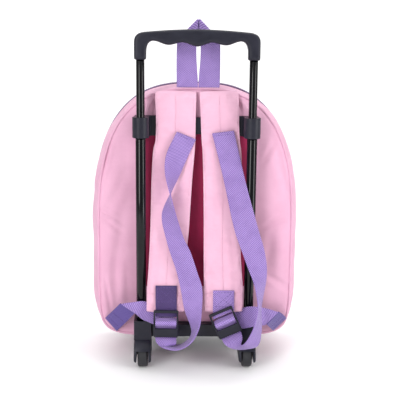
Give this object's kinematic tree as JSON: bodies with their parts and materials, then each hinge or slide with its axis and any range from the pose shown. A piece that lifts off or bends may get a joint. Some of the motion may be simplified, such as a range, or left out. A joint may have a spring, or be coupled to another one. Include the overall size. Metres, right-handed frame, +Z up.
{
  "type": "wheeled backpack",
  "caption": "Small soft backpack with padded shoulder straps and loose adjuster webbing, on a frame with a telescoping pull handle, rear wheels and plain front feet.",
  "frame": {"origin": "middle of the underside of the whole box, on the floor", "axes": "+Z up along the handle; +Y towards the bag's front; -Y is the side with the straps and the handle"},
  "size_m": [0.2578, 0.1682, 0.42],
  "materials": {
    "pink_cloth": "pale pink woven polyester, soft and matt",
    "side_cloth": "dusty pink woven polyester, slightly creased",
    "back_cloth": "padded pink cloth, deep red between the straps",
    "purple_webbing": "ribbed lilac polyester webbing",
    "dark_webbing": "dark purple webbing and tape",
    "zip_tape": "lilac coil zip tape",
    "zip_metal": "satin black",
    "black_plastic": "satin moulded plastic",
    "black_tube": "gloss black painted tube",
    "axle_steel": "plain steel",
    "wheel_plastic": "matt, slightly scuffed"
  },
  "bodies": {
    "bag": {"back_panel": "back_cloth", "gusset": "side_cloth", "front_panel": "pink_cloth", "back_piping": "pink_cloth", "front_piping": "purple_webbing", "zip_tape": "zip_tape", "zip_slider": "zip_metal", "carry_loop": "purple_webbing", "upper_bracket": "black_plastic", "base_bar": "black_plastic", "base_plate": "black_plastic", "shoulder_strap_left": "pink_cloth", "shoulder_strap_right": "pink_cloth", "strap_tab_left": "dark_webbing", "strap_tab_right": "dark_webbing", "buckle_left": "black_plastic", "buckle_right": "black_plastic", "corner_tab_left": "dark_webbing", "corner_tab_right": "dark_webbing", "adjuster_webbing_left": "purple_webbing", "adjuster_webbing_right": "purple_webbing", "tube_left": "black_tube", "tube_right": "black_tube", "leg_left": "black_plastic", "leg_right": "black_plastic", "axle_left": "axle_steel", "axle_right": "axle_steel"},
    "handle": {"handle_grip": "black_plastic", "rod_left": "black_tube", "rod_right": "black_tube"},
    "wheel_left": {"wheel_left": "wheel_plastic"},
    "wheel_right": {"wheel_right": "wheel_plastic"}
  },
  "joints": [
    {"name": "handle_slide", "type": "slide", "parent": "bag", "child": "handle", "axis": [0, 0, 1], "range_m": [-0.0655, 0.14]},
    {"name": "wheel_left_spin", "type": "hinge", "parent": "bag", "child": "wheel_left", "pos_m": [-0.06403, -0.04659, 0.017], "axis": [1, 0, 0], "continuous": true},
    {"name": "wheel_right_spin", "type": "hinge", "parent": "bag", "child": "wheel_right", "pos_m": [0.06397, -0.04659, 0.017], "axis": [1, 0, 0], "continuous": true}
  ]
}
